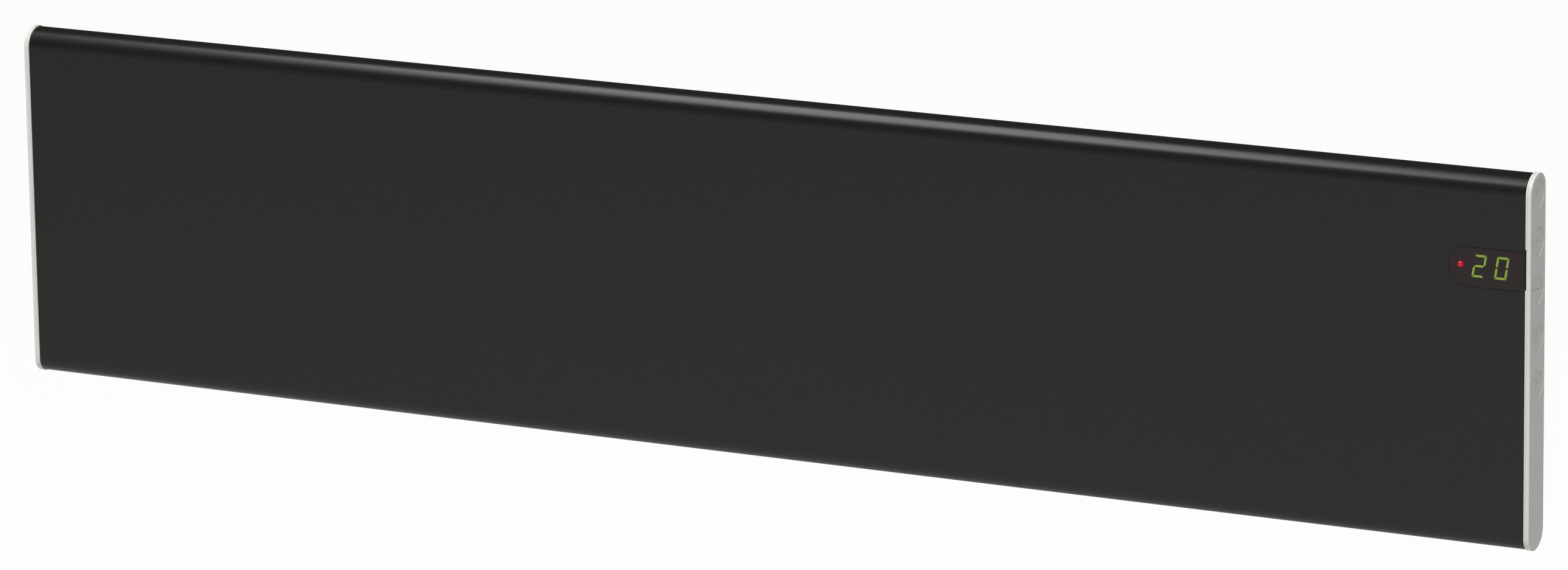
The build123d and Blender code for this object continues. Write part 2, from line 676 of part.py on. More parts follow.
# ---- display ----
def display_lens():
    """Smoked window with a hole for the lamp."""
    window = front_plate(lens_outline(0), LENS_IN_Y, LENS_T)
    return window - rod_y((LENS_FACE_Y - OVER, LENS_IN_Y + OVER), LED_X, LED_Z, LED_R + SCREW_FIT)


def digit_bars(width, height):
    """Corners of the seven bars of a digit, mitred where they meet, about its middle."""
    out, up, s, half = width / 2, height / 2, DIGIT_STROKE, DIGIT_STROKE / 2
    top = [(-out, up), (out, up), (out - s, up - s), (-out + s, up - s)]
    side = [(out, up), (out, half), (out - half, 0), (out - s, half), (out - s, up - s)]
    middle = [(-out + half, 0), (-out + s, half), (out - s, half),
              (out - half, 0), (out - s, -half), (-out + s, -half)]
    return {
        "top": top, "middle": middle, "bottom": [(x, -z) for x, z in top],
        "high_right": side, "high_left": [(-x, z) for x, z in side],
        "low_right": [(x, -z) for x, z in side], "low_left": [(-x, -z) for x, z in side],
    }


def lit_digit(lit, middle_x):
    """The lit bars of one slanted digit, drawn in from each other by half the gap."""
    lean = tan(radians(DIGIT_SLANT))
    bars = digit_bars(DIGIT_W - DIGIT_H * lean, DIGIT_H)
    solids = []
    for name in lit:
        corners = [(middle_x + x + z * lean, DIGITS_Z + z) for x, z in bars[name]]
        bar = offset(make_face(Polyline(*corners, close=True)), -DIGIT_GAP / 2, kind=Kind.INTERSECTION)
        solids.append(front_plate(bar, MODULE_FACE_Y, DIGIT_T))
    return group(solids)


def digit_tens():
    lit = ("top", "high_right", "middle", "low_left", "bottom")
    return lit_digit(lit, LENS_TIP_X + DIGITS_FROM_TIP[0])


def digit_units():
    lit = ("top", "high_left", "high_right", "low_left", "low_right", "bottom")
    return lit_digit(lit, LENS_TIP_X + DIGITS_FROM_TIP[1])


def display_module():
    box = block(around(MODULE_X, MODULE_L), (MODULE_FACE_Y, DISPLAY_BOARD_Y), around(DIGITS_Z, MODULE_H))
    return chamfer(box.edges().filter_by(Axis.Y), MODULE_EDGE)


def status_led():
    """A round-nosed lamp standing on the display board, its nose out through the lens."""
    nose_y = LENS_FACE_Y - LED_OUT + LED_R
    lamp = rod_y((nose_y, DISPLAY_BOARD_Y), LED_X, LED_Z, LED_R)
    lamp += Pos(LED_X, nose_y, LED_Z) * Sphere(LED_R)
    return lamp + rod_y((DISPLAY_BOARD_Y - LED_RIM_T, DISPLAY_BOARD_Y), LED_X, LED_Z, LED_RIM_R)


def display_board_x():
    return LENS_TIP_X, LENS_TIP_X + DISPLAY_BOARD_L


def display_board():
    y = (DISPLAY_BOARD_Y, DISPLAY_BOARD_Y + BOARD_T)
    return block(display_board_x(), y, around(LENS_Z, DISPLAY_BOARD_H))


# ---- button board ----
def button_board():
    """Upright board against the step of the right plug, notched round its screw boss."""
    board = slab(PLUG_INSET + PLUG_WALL + FIT, (BOARD_X - BOARD_T, BOARD_X))
    high = (BUTTON_Z[-1] - BUTTON_BOARD_BELOW, BUTTON_Z[0] + BUTTON_BOARD_ABOVE)
    board &= block((BOARD_X - BOARD_T, BOARD_X), (FRONT_Y, BACK_Y), high)
    return board - cap_boss(FLANGE_SCREW_Z[0], FIT)


def tact_switches():
    """One switch per button, its bore open to the button's tip."""
    solids = []
    for z in BUTTON_Z:
        body = block((BOARD_X, SWITCH_TOP_X), around(MID_Y, SWITCH), around(z, SWITCH))
        bore = (SWITCH_TOP_X - SWITCH_BORE, SWITCH_TOP_X + OVER)
        solids.append(body - rod_x(bore, MID_Y, z, SWITCH_BORE_R))
    return group(solids)


# ---- control electronics ----
def corner_places(x, z, inset):
    return [(a, b) for a in (x[0] + inset, x[1] - inset) for b in (z[0] + inset, z[1] - inset)]


def electronics_tray():
    """Shallow tray on the back panel with posts for both boards."""
    rim_y = TRAY_FACE_Y - TRAY_RIM
    tray = block(TRAY, (rim_y, BACK_IN_Y), TRAY_Z)
    hollow = (rim_y - OVER, TRAY_FACE_Y)
    tray -= block((TRAY[0] + TRAY_T, TRAY[1] - TRAY_T), hollow, (TRAY_Z[0] + TRAY_T, TRAY_Z[1] - TRAY_T))
    entry = (EARTH_X - WIRE_ENTRY, GLAND_X + WIRE_ENTRY)
    tray -= block(entry, hollow, (TRAY_Z[0] - OVER, TRAY_Z[0] + TRAY_T + OVER))
    for x, z in corner_places(around(CONTROL_X, CONTROL_L), CONTROL_Z, POST_IN):
        tray += rod_y((CONTROL_BACK_Y, TRAY_FACE_Y), x, z, POST_R)
    span = (display_board_x()[0], TRAY[1] - TRAY_T)
    for x, z in corner_places(span, around(LENS_Z, DISPLAY_BOARD_H), POST_IN):
        tray += rod_y((DISPLAY_BOARD_Y + BOARD_T, TRAY_FACE_Y), x, z, POST_R)
    return tray


def on_board(place, size):
    """A part that stands on the control board: size along X, out from the board, and along Z."""
    x, z = CONTROL_X + place[0], CONTROL_Z[0] + place[1]
    return block(around(x, size[0]), (CONTROL_Y - size[1], CONTROL_Y), around(z, size[2]))


def control_board():
    """The board itself with its row of flat chips."""
    board = block(around(CONTROL_X, CONTROL_L), (CONTROL_Y, CONTROL_BACK_Y), CONTROL_Z)
    up = CONTROL_Z[1] - CONTROL_Z[0] - CHIP_DOWN
    for across, length, height in CHIPS:
        board += on_board((across, up), (length, CHIP_T, height))
    return board


def power_relay():
    return fillet(on_board(RELAY_AT, RELAY).edges().filter_by(Axis.Y), RELAY_EDGE)


def supply_transformer():
    """Laminated core with its winding bobbin."""
    return on_board(TRANSFORMER_AT, CORE) + on_board(TRANSFORMER_AT, BOBBIN)


def capacitors():
    solids = []
    for across, up, radius, tall in CANS:
        can = rod_y((CONTROL_Y - tall, CONTROL_Y), CONTROL_X + across, CONTROL_Z[0] + up, radius)
        solids.append(fillet(can.edges().group_by(Axis.Y)[0], CAN_EDGE))
    return group(solids)


def terminal_block():
    """Three screw terminals side by side, open downward."""
    body = on_board(TERMINALS_AT, (3 * TERMINAL_PITCH, TERMINAL_T, TERMINAL_H))
    middle_y = CONTROL_Y - TERMINAL_T / 2
    z = CONTROL_Z[0] + TERMINALS_AT[1]
    for i in (-1, 0, 1):
        x = CONTROL_X + TERMINALS_AT[0] + i * TERMINAL_PITCH
        body -= rod_y((middle_y - TERMINAL_T, middle_y), x, z + TERMINAL_SCREW_UP, TERMINAL_SCREW_R)
        body -= block(around(x, TERMINAL_PORT), around(middle_y, TERMINAL_PORT), (z - TERMINAL_H, z))
    return body


# ---- heating element ----
def wing_turn():
    """How far a wing leans off the vertical, in degrees, when its tip clears the shield."""
    room = MID_Y - SHIELD_Y - SHIELD_T - WING_CLEAR - WING_T / 2
    return degrees(asin(room / (WING_L + HUB_R / 2)))


def wing(turn):
    place = Pos(MID_Y, ELEMENT_Z) * Rot(0, 0, turn)
    return place * Pos(0, WING_L / 2 + HUB_R / 2) * Rectangle(WING_T, WING_L)


def element_fins():
    """Aluminium extrusion: a hub on the rod with four long wings."""
    lean = wing_turn()
    profile = Pos(MID_Y, ELEMENT_Z) * Circle(HUB_R)
    profile += [wing(turn) for turn in (lean, -lean, 180 - lean, 180 + lean)]
    profile -= Pos(MID_Y, ELEMENT_Z) * Circle(ROD_R + ROD_FIT)
    return side_plate(profile, ELEMENT)


def element_ends():
    """Each end of the fins, with the direction that points outward."""
    return ((ELEMENT[0], -1), (ELEMENT[1], 1))


def element_rod():
    return rod_x((ELEMENT[0] - ROD_OUT, ELEMENT[1] + ROD_OUT), MID_Y, ELEMENT_Z, ROD_R)


def element_bushes():
    """Ceramic bushes that carry the rod in its holders."""
    solids = []
    for x, out in element_ends():
        start = x + out * BUSH_OFF
        end = start + out * (BUSH_RIM_T + BUSH_L)
        rim = rod_x((start, start + out * BUSH_RIM_T), MID_Y, ELEMENT_Z, BUSH_RIM_R)
        body = rod_x((start, end), MID_Y, ELEMENT_Z, BUSH_R)
        bore = rod_x((x, end + out * OVER), MID_Y, ELEMENT_Z, ROD_R + ROD_FIT)
        solids.append(rim + body - bore)
    return group(solids)


def element_terminals():
    """Threaded pins and spade tags on the ends of the rod."""
    solids = []
    for x, out in element_ends():
        start = x + out * ROD_OUT
        tip = start + out * PIN_OUT
        tag = block((tip, tip + out * SPADE[2]), around(MID_Y, SPADE[1]), around(ELEMENT_Z, SPADE[0]))
        solids.append(rod_x((start, tip), MID_Y, ELEMENT_Z, PIN_R) + tag)
    return group(solids)


def element_holder(x, out):
    """Angle bracket on the back panel, against the rim of its bush."""
    seat = x + out * (BUSH_OFF + BUSH_RIM_T)
    high = around(ELEMENT_Z, HOLDER_H)
    reach = MID_Y - BUSH_RIM_R
    wall = block((seat, seat + out * HOLDER_T), (reach, BACK_IN_Y), high)
    foot = block((seat, seat + out * HOLDER_FOOT), (BACK_IN_Y - HOLDER_T, BACK_IN_Y), high)
    bore = rod_x((seat - out * OVER, seat + out * (HOLDER_T + OVER)), MID_Y, ELEMENT_Z, BUSH_R + SCREW_FIT)
    return wall + foot - bore


def heat_shield():
    """Thin plate between element and front panel, on legs to the back panel."""
    past = ROD_OUT + PIN_OUT
    shield = block((ELEMENT[0] - past, ELEMENT[1] + past), (SHIELD_Y, SHIELD_Y + SHIELD_T), SHIELD_Z)
    for x in spread(ELEMENT[0] + LEG_IN, ELEMENT[1] - LEG_IN, SHIELD_LEGS):
        for edge, inward in ((SHIELD_Z[0], 1), (SHIELD_Z[1], -1)):
            wide = around(x, LEG_W)
            shield += block(wide, (SHIELD_Y, BACK_IN_Y), (edge, edge + inward * SHIELD_T))
            shield += block(wide, (BACK_IN_Y - SHIELD_T, BACK_IN_Y), (edge, edge + inward * FOOT))
    return shield


def thermal_cutout():
    """Disc thermostat on the back panel above the element."""
    x, z = sum(ELEMENT) / 2, ELEMENT_Z + CUTOUT_UP
    face = BACK_IN_Y - CUTOUT_T
    body = rod_y((face, BACK_IN_Y), x, z, CUTOUT_R)
    body += block(around(x, CUTOUT_EARS), (BACK_IN_Y - CUTOUT_EAR_T, BACK_IN_Y), around(z, CUTOUT_R))
    for side in (-1, 1):
        body += block(around(x + side * CUTOUT_R / 2, SPADE[1]), (face - SPADE[2], face), around(z, SPADE[0]))
    return body


# ---- small fittings ----
def room_sensor():
    """Temperature bead in its clip at the foot of the right end frame."""
    middle = PLUG_X + PLUG_DEPTH / 2
    bead = rod_x(around(middle, SENSOR_L - 2 * SENSOR_R), KEEL_Y, SENSOR_Z, SENSOR_R)
    for end in around(middle, SENSOR_L - 2 * SENSOR_R):
        bead += Pos(end, KEEL_Y, SENSOR_Z) * Sphere(SENSOR_R)
    return bead


def cord_gland():
    """Inlet for the supply cord: flange and nose behind, nut inside."""
    nose_y = BACK_OUT_Y + GLAND_FLANGE_T
    nut_y = BACK_IN_Y - GLAND_NUT_T
    body = rod_y((BACK_OUT_Y, nose_y), GLAND_X, GLAND_Z, GLAND_FLANGE_R)
    taper = Pos(GLAND_X, nose_y + GLAND_NOSE / 2, GLAND_Z) * Rot(-90, 0, 0)
    body += taper * Cone(GLAND_BODY_R + GLAND_TAPER, GLAND_BODY_R, GLAND_NOSE)
    body += rod_y((nut_y - GLAND_THREAD, BACK_OUT_Y), GLAND_X, GLAND_Z, GLAND_BODY_R)
    nut = Pos(GLAND_X, GLAND_Z) * RegularPolygon(GLAND_NUT, 6, major_radius=False)
    body += front_plate(nut, BACK_IN_Y, GLAND_NUT_T)
    through = (nut_y - GLAND_THREAD - OVER, nose_y + GLAND_NOSE + OVER)
    return body - rod_y(through, GLAND_X, GLAND_Z, GLAND_BORE_R)


def earth_screw():
    """Screw and ring tag that join the casing to protective earth."""
    flat = (BACK_IN_Y - TAG_T, BACK_IN_Y)
    tag = rod_y(flat, EARTH_X, EARTH_Z, EARTH_RING_R)
    tag += block(around(EARTH_X, EARTH_TAG_W), flat, (EARTH_Z, EARTH_Z + EARTH_TAG))
    return tag + screw(EARTH_X, EARTH_Z, BACK_OUT_Y, BACK_SHEET + TAG_T)


# ---- leads held inside the casing ----
def element_lead_right():
    start = ELEMENT[1] + ROD_OUT + PIN_OUT + SPADE[2]
    end = CONTROL_X - CONTROL_L / 2 + LEAD_IN
    low = ELEMENT_Z - LEAD_RISE
    return lead([(start, MID_Y, ELEMENT_Z), (start + LEAD_RISE, MID_Y, ELEMENT_Z),
                 (end, CONTROL_Y - LEAD_RISE, low), (end, CONTROL_Y, low)], LEAD_R)


def element_lead_left():
    """From the far end of the element back along the foot of the back panel."""
    start = ELEMENT[0] - ROD_OUT - PIN_OUT - SPADE[2]
    low = OPEN_LOW - LOOM_BELOW
    flat = BACK_IN_Y - LEAD_R - SCREW_FIT
    end = TRAY[0] - LOOM_SHORT
    x, z = CONTROL_X - CONTROL_L / 2 + LOOM_IN, CONTROL_Z[0] + LEAD_IN
    return lead([(start, MID_Y, ELEMENT_Z), (start - LEAD_RISE, MID_Y, ELEMENT_Z),
                 (start - LEAD_RISE, flat, ELEMENT_Z - LOOM_TURN), (start + LOOM_TURN, flat, low),
                 (end, flat, low), (end + LOOM_RISE[0], flat - LEAD_RISE, low + LOOM_RISE[1]),
                 (x, CONTROL_Y - LEAD_RISE, z), (x, CONTROL_Y, z)], LEAD_R)


def sensor_lead():
    start = PLUG_X + (PLUG_DEPTH - SENSOR_L) / 2
    x, z = CONTROL_X + CONTROL_L / 2 - LEAD_IN, CONTROL_Z[0] + LEAD_IN
    return lead([(start, KEEL_Y, SENSOR_Z), (start - LEAD_RISE, KEEL_Y, SENSOR_Z),
                 (x, KEEL_Y, SENSOR_Z + SENSOR_TURN), (x, CONTROL_Y - LEAD_RISE, z), (x, CONTROL_Y, z)],
                FINE_LEAD_R)


def earth_lead():
    top = EARTH_Z + EARTH_TAG
    flat = BACK_IN_Y - FINE_LEAD_R - SCREW_FIT
    forward, before, after = EARTH_TURN
    end = CONTROL_Z[0] + LEAD_IN
    return lead([(EARTH_X, flat, top), (EARTH_X, flat, top + before), (EARTH_X, flat - forward, top + after),
                 (EARTH_X, CONTROL_Y - LEAD_RISE, end), (EARTH_X, CONTROL_Y, end)], FINE_LEAD_R)


# ---- fittings behind the casing, drawn at the right upright ----
def yoke(z, pin_r):
    """U-shaped bracket on the back panel whose ears carry a pin."""
    ear = Pos(PIVOT_Y, z) * Circle(EAR_R)
    root = (BACK_OUT_Y + YOKE_T, z)
    ear += make_face(Polyline((root[0], z - YOKE_H / 2), (root[0], z + YOKE_H / 2),
                              (PIVOT_Y, z + EAR_R), (PIVOT_Y, z - EAR_R), close=True))
    ear -= Pos(PIVOT_Y, z) * Circle(pin_r + PIVOT_FIT)
    solid = block(around(HANG_X, YOKE_GAP + 2 * YOKE_T), (BACK_OUT_Y, root[0]), around(z, YOKE_H))
    for x in (HANG_X - YOKE_GAP / 2 - YOKE_T, HANG_X + YOKE_GAP / 2):
        solid += side_plate(ear, (x, x + YOKE_T))
    return solid


def yoke_pin(z, radius):
    """Headed pin through both ears of a yoke."""
    inner = YOKE_GAP / 2 + YOKE_T
    pin = rod_x(around(HANG_X, 2 * inner), PIVOT_Y, z, radius)
    for side in (-1, 1):
        pin += rod_x((HANG_X + side * inner, HANG_X + side * (inner + PIN_HEAD_T)), PIVOT_Y, z, PIN_HEAD_R)
    return pin


def hook():
    """Upturned hook on the upright, open above, that a hinge pin drops into."""
    z, radius = -PIN_Z, HINGE_PIN_R + PIVOT_FIT
    outer = radius + HOOK_WALL
    profile = Pos(PIVOT_Y, z) * Circle(outer)
    profile += Pos((PIVOT_Y + WEB_Y) / 2, z + (HOOK_LIP_UP - outer) / 2) * \
        Rectangle(WEB_Y - PIVOT_Y, HOOK_LIP_UP + outer)
    profile += Pos(PIVOT_Y - outer / 2, z + HOOK_LIP_UP / 2) * Rectangle(outer, HOOK_LIP_UP)
    profile -= Pos(PIVOT_Y, z) * Circle(radius)
    profile -= Pos(PIVOT_Y, z + outer) * Rectangle(2 * radius, 2 * outer)
    return side_plate(profile, around(HANG_X, HOOK_T))


def upright():
    """Pressed channel with a flat screw tab beyond each end."""
    wide = around(HANG_X, UPRIGHT_W)
    inside = around(HANG_X, UPRIGHT_W - 2 * BRACKET_T)
    channel = block(wide, (WEB_Y, 0), (-UPRIGHT_HALF, UPRIGHT_HALF))
    hollow = UPRIGHT_HALF - BRACKET_T
    channel -= block(inside, (WEB_Y + BRACKET_T, OVER), (-hollow, hollow))
    tab_end = UPRIGHT_HALF + TAB_L
    channel += block(wide, (-BRACKET_T, 0), (UPRIGHT_HALF, tab_end))
    channel += block(wide, (-BRACKET_T, 0), (-tab_end, -UPRIGHT_HALF))
    for z in (UPRIGHT_HALF + TAB_L / 2, -UPRIGHT_HALF - TAB_L / 2):
        channel -= rod_y((-BRACKET_T - OVER, OVER), HANG_X, z, WALL_HOLE_R)
    web = (WEB_Y - OVER, WEB_Y + BRACKET_T + OVER)
    channel -= rod_y(web, HANG_X, PIN_Z - RIVET_DOWN, RIVET_R + SCREW_FIT)
    channel -= rod_y(web, HANG_X, BUFFER_Z, BUFFER_NECK_R)
    return channel + hook()


def wall_bracket():
    """Two uprights joined by a lipped rail."""
    frame = Part() + list(both_sides(upright()))
    reach = HANG_X - UPRIGHT_W / 2
    frame += block((-reach, reach), (-BRACKET_T, 0), (-RAIL_HALF, RAIL_HALF))
    for side in (-1, 1):
        edge = side * RAIL_HALF
        frame += block((-reach, reach), (-RAIL_LIP, 0), (edge, edge - side * BRACKET_T))
    return frame


def spring_clip():
    """Bent spring that the catch pin snaps into, open to the front."""
    inner = CATCH_PIN_R + CLIP_PLAY
    outer = inner + CLIP_T
    leaf = PIVOT_Y - CLIP_LEAF
    profile = Pos(PIVOT_Y, PIN_Z) * Circle(outer)
    profile += Pos((PIVOT_Y + leaf) / 2, PIN_Z) * Rectangle(CLIP_LEAF, 2 * outer)
    profile -= Pos(PIVOT_Y, PIN_Z) * Circle(inner)
    profile -= Pos(PIVOT_Y - outer, PIN_Z) * Rectangle(2 * outer, 2 * inner)
    for side in (-1, 1):
        profile += make_face(Polyline(
            (leaf, PIN_Z + side * inner), (leaf, PIN_Z + side * outer),
            (leaf - CLIP_FLARE, PIN_Z + side * (outer + CLIP_FLARE)),
            (leaf - CLIP_FLARE, PIN_Z + side * (inner + CLIP_FLARE)), close=True))
    neck = Pos((PIVOT_Y + inner + WEB_Y) / 2, PIN_Z) * Rectangle(WEB_Y - PIVOT_Y - inner, inner)
    low, high = PIN_Z - RIVET_DOWN - RIVET_HEAD_R - CLIP_FOOT, PIN_Z + outer
    base = Pos(WEB_Y - CLIP_T / 2, (low + high) / 2) * Rectangle(CLIP_T, high - low)
    solid = side_plate(profile + neck + base, around(HANG_X, CLIP_W))
    return solid - rod_y((WEB_Y - 2 * CLIP_T, WEB_Y + OVER), HANG_X, PIN_Z - RIVET_DOWN, RIVET_R + SCREW_FIT)


def clip_rivet():
    z, front = PIN_Z - RIVET_DOWN, WEB_Y - CLIP_T
    rivet = rod_y((front - RIVET_HEAD_T, front), HANG_X, z, RIVET_HEAD_R)
    rivet += rod_y((front, WEB_Y + BRACKET_T), HANG_X, z, RIVET_R)
    return rivet + rod_y((WEB_Y + BRACKET_T, WEB_Y + BRACKET_T + RIVET_HEAD_T), HANG_X, z, RIVET_HEAD_R)


def spacer_buffer():
    """Rubber buffer in the upright that steadies the back panel."""
    buffer = rod_y((BACK_OUT_Y + BUFFER_PLAY, WEB_Y), HANG_X, BUFFER_Z, BUFFER_R)
    return buffer + rod_y((WEB_Y, WEB_Y + 2 * BRACKET_T), HANG_X, BUFFER_Z, BUFFER_NECK_R)


# ---- the pieces by name ----
hinge_yokes = both_sides(yoke(-PIN_Z, HINGE_PIN_R))
catch_yokes = both_sides(yoke(PIN_Z, CATCH_PIN_R))
hinge_pins = both_sides(yoke_pin(-PIN_Z, HINGE_PIN_R))
catch_pins = both_sides(yoke_pin(PIN_Z, CATCH_PIN_R))
spring_clips = both_sides(spring_clip())

pieces = {
    "wall_bracket": wall_bracket(),
    "spring_clip_right": spring_clips[0],
    "spring_clip_left": spring_clips[1],
    "clip_rivets": group(both_sides(clip_rivet())),
    "spacer_buffers": group(both_sides(spacer_buffer())),
    "front_panel": front_panel(),
    "back_panel": back_panel(),
    "left_end_frame": left_end_frame(),
    "left_cap_plate": left_cap_plate(),
    "left_cap_cover": left_cap_cover(),
    "right_end_frame": right_end_frame(),
    "right_cap_plate": right_cap_plate(),
    "right_cap_cover": right_cap_cover(),
    "display_lens": display_lens(),
    "digit_tens": digit_tens(),
    "digit_units": digit_units(),
    "display_module": display_module(),
    "status_led": status_led(),
    "display_board": display_board(),
    "button_board": button_board(),
    "tact_switches": tact_switches(),
    "electronics_tray": electronics_tray(),
    "control_board": control_board(),
    "power_relay": power_relay(),
    "supply_transformer": supply_transformer(),
    "capacitors": capacitors(),
    "terminal_block": terminal_block(),
    "element_fins": element_fins(),
    "element_rod": element_rod(),
    "element_bushes": element_bushes(),
    "element_terminals": element_terminals(),
    "element_holder_left": element_holder(*element_ends()[0]),
    "element_holder_right": element_holder(*element_ends()[1]),
    "heat_shield": heat_shield(),
    "thermal_cutout": thermal_cutout(),
    "room_sensor": room_sensor(),
    "cord_gland": cord_gland(),
    "earth_screw": earth_screw(),
    "casing_screws": casing_screws(),
    "cap_screws": cap_screws(),
    "element_lead_left": element_lead_left(),
    "element_lead_right": element_lead_right(),
    "sensor_lead": sensor_lead(),
    "earth_lead": earth_lead(),
    "hinge_yoke_right": hinge_yokes[0],
    "hinge_yoke_left": hinge_yokes[1],
    "catch_yoke_right": catch_yokes[0],
    "catch_yoke_left": catch_yokes[1],
    "hinge_pin_right": hinge_pins[0],
    "hinge_pin_left": hinge_pins[1],
    "catch_pin_right": catch_pins[0],
    "catch_pin_left": catch_pins[1],
}
for mark, height in zip(("program", "plus", "minus", "five", "seven"), BUTTON_Z):
    pieces[mark + "_button"] = push_button(mark, height)

for node, solid in pieces.items():
    export_step(solid, f"parts/{node}.step")
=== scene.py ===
"""Dresses the wall heater's CAD nodes in materials, in a pale studio seen from the photograph's place."""
import json
import math

import bpy
from mathutils import Matrix, Vector


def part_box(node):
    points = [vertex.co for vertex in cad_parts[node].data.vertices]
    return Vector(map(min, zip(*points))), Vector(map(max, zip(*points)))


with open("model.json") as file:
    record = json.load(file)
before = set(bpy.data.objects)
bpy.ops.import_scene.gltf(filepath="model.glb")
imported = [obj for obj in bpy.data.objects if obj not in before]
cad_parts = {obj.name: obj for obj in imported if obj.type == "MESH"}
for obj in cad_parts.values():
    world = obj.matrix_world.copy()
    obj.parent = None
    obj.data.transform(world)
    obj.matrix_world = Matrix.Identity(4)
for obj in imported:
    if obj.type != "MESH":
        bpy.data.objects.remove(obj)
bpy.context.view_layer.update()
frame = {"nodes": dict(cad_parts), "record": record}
nodes = frame["nodes"]
MM = 0.001

# ---- camera: where the photograph was taken from ----
PHOTO_W = 2576
SENSOR = 36.0
FOCAL_PX = 13230.0
CAMERA_AT = Vector((2.8218, -5.1580, 1.3658))
CAMERA_YAW = math.radians(28.63)
CAMERA_PITCH = math.radians(13.22)
CAMERA_ROLL = math.radians(-0.81)
CAMERA_REACH = 60.0    # the camera sees no further, in metres


def make_camera():
    yaw, pitch, roll = CAMERA_YAW, CAMERA_PITCH, CAMERA_ROLL
    ahead = Vector((-math.sin(yaw) * math.cos(pitch), math.cos(yaw) * math.cos(pitch), -math.sin(pitch)))
    level = Vector((math.cos(yaw), math.sin(yaw), 0.0))
    up = level.cross(ahead)
    right = math.cos(roll) * level + math.sin(roll) * up
    top = -math.sin(roll) * level + math.cos(roll) * up
    turn = Matrix((right, top, -ahead)).transposed().to_4x4()
    data = bpy.data.cameras.new("camera")
    data.sensor_width = SENSOR
    data.lens = FOCAL_PX / PHOTO_W * SENSOR
    data.clip_end = CAMERA_REACH
    camera = bpy.data.objects.new("camera", data)
    camera.matrix_world = Matrix.Translation(CAMERA_AT) @ turn
    bpy.context.scene.collection.objects.link(camera)
    bpy.context.scene.camera = camera


# ---- node helpers ----
MIX_FIRST, MIX_SECOND, MIX_RESULT = 6, 7, 2    # the sockets of a Mix node that carry colours


class Nodes:
    """Short names for building a material's node tree."""

    def __init__(self, name):
        self.material = bpy.data.materials.new(name)
        self.material.use_nodes = True
        self.tree = self.material.node_tree
        self.shader = self.tree.nodes["Principled BSDF"]

    def add(self, kind, **values):
        node = self.tree.nodes.new(kind)
        for key, value in values.items():
            setattr(node, key, value)
        return node

    def link(self, source, target):
        self.tree.links.new(source, target)

    def feed(self, socket, source):
        """Lets source drive a socket of the surface's shader."""
        self.link(source, self.shader.inputs[socket])

    def place(self):
        return self.add("ShaderNodeTexCoord").outputs["Object"]

    def depth(self):
        """How far back a point of the object lies, along Y."""
        node = self.add("ShaderNodeSeparateXYZ")
        self.link(self.place(), node.inputs["Vector"])
        return node.outputs["Y"]

    def noise(self, scale, detail=2.0, roughness=0.5, place=None):
        node = self.add("ShaderNodeTexNoise")
        node.inputs["Scale"].default_value = scale
        node.inputs["Detail"].default_value = detail
        node.inputs["Roughness"].default_value = roughness
        self.link(self.place() if place is None else place, node.inputs["Vector"])
        return node.outputs["Fac"]

    def spread(self, source, low, high, start=0.3, end=0.7):
        """Low up to where source is start, high from where it is end; a noise mostly lies in 0.3 to 0.7."""
        node = self.add("ShaderNodeMapRange")
        node.inputs["From Min"].default_value = start
        node.inputs["From Max"].default_value = end
        node.inputs["To Min"].default_value = low
        node.inputs["To Max"].default_value = high
        self.link(source, node.inputs["Value"])
        return node.outputs["Result"]

    def mix(self, factor, first, second):
        """The first colour where factor is 0 and the second where it is 1."""
        node = self.add("ShaderNodeMix", data_type="RGBA")
        self.link(factor, node.inputs["Factor"])
        node.inputs[MIX_FIRST].default_value = (*first, 1.0)
        node.inputs[MIX_SECOND].default_value = (*second, 1.0)
        return node.outputs[MIX_RESULT]

    def bump(self, height, distance):
        node = self.add("ShaderNodeBump")
        node.inputs["Distance"].default_value = distance
        self.link(height, node.inputs["Height"])
        self.feed("Normal", node.outputs["Normal"])

    def set(self, **values):
        for key, value in values.items():
            self.shader.inputs[key.replace("_", " ").title().replace("Ior", "IOR")].default_value = value
        return self


# ---- materials: scales are per metre, the distances of bumps in metres ----
def surface(name, dark, light, rough=(0.4, 0.5), grain=2500.0, bump=0.00002, patch=6.0, **values):
    """A surface whose colour drifts over patches, with a fine grain in its relief and gloss."""
    made = Nodes(name)
    drift = made.spread(made.noise(patch, detail=4.0), 0.0, 1.0)
    made.feed("Base Color", made.mix(drift, dark, light))
    fine = made.noise(grain, detail=3.0, roughness=0.6)
    made.feed("Roughness", made.spread(fine, *rough))
    made.bump(fine, bump)
    return made.set(**values).material


def brushed(name, dark, light, rough=(0.28, 0.42), stretch=(1.0, 30.0, 30.0), scale=160.0, bump=0.00001):
    """Metal with fine lines along X."""
    made = Nodes(name)
    mapping = made.add("ShaderNodeMapping")
    mapping.inputs["Scale"].default_value = stretch
    made.link(made.place(), mapping.inputs["Vector"])
    lines = made.noise(scale, detail=4.0, place=mapping.outputs["Vector"])
    made.feed("Base Color", made.mix(made.spread(lines, 0.0, 1.0), dark, light))
    made.feed("Roughness", made.spread(lines, *rough))
    made.bump(lines, bump)
    return made.set(metallic=1.0).material


def galvanised(name, dark, light, rough=(0.38, 0.46), spangle=150.0, grain=600.0, bump=0.000015):
    """Zinc-coated sheet: small crystals, each with its own grey and gloss."""
    made = Nodes(name)
    cells = made.add("ShaderNodeTexVoronoi")
    cells.inputs["Scale"].default_value = spangle
    made.link(made.place(), cells.inputs["Vector"])
    shade = made.add("ShaderNodeSeparateColor")
    made.link(cells.outputs["Color"], shade.inputs["Color"])
    made.feed("Base Color", made.mix(shade.outputs["Red"], dark, light))
    made.feed("Roughness", made.spread(shade.outputs["Green"], *rough, start=0.0, end=1.0))
    made.bump(made.noise(grain, detail=3.0), bump)
    return made.set(metallic=1.0).material


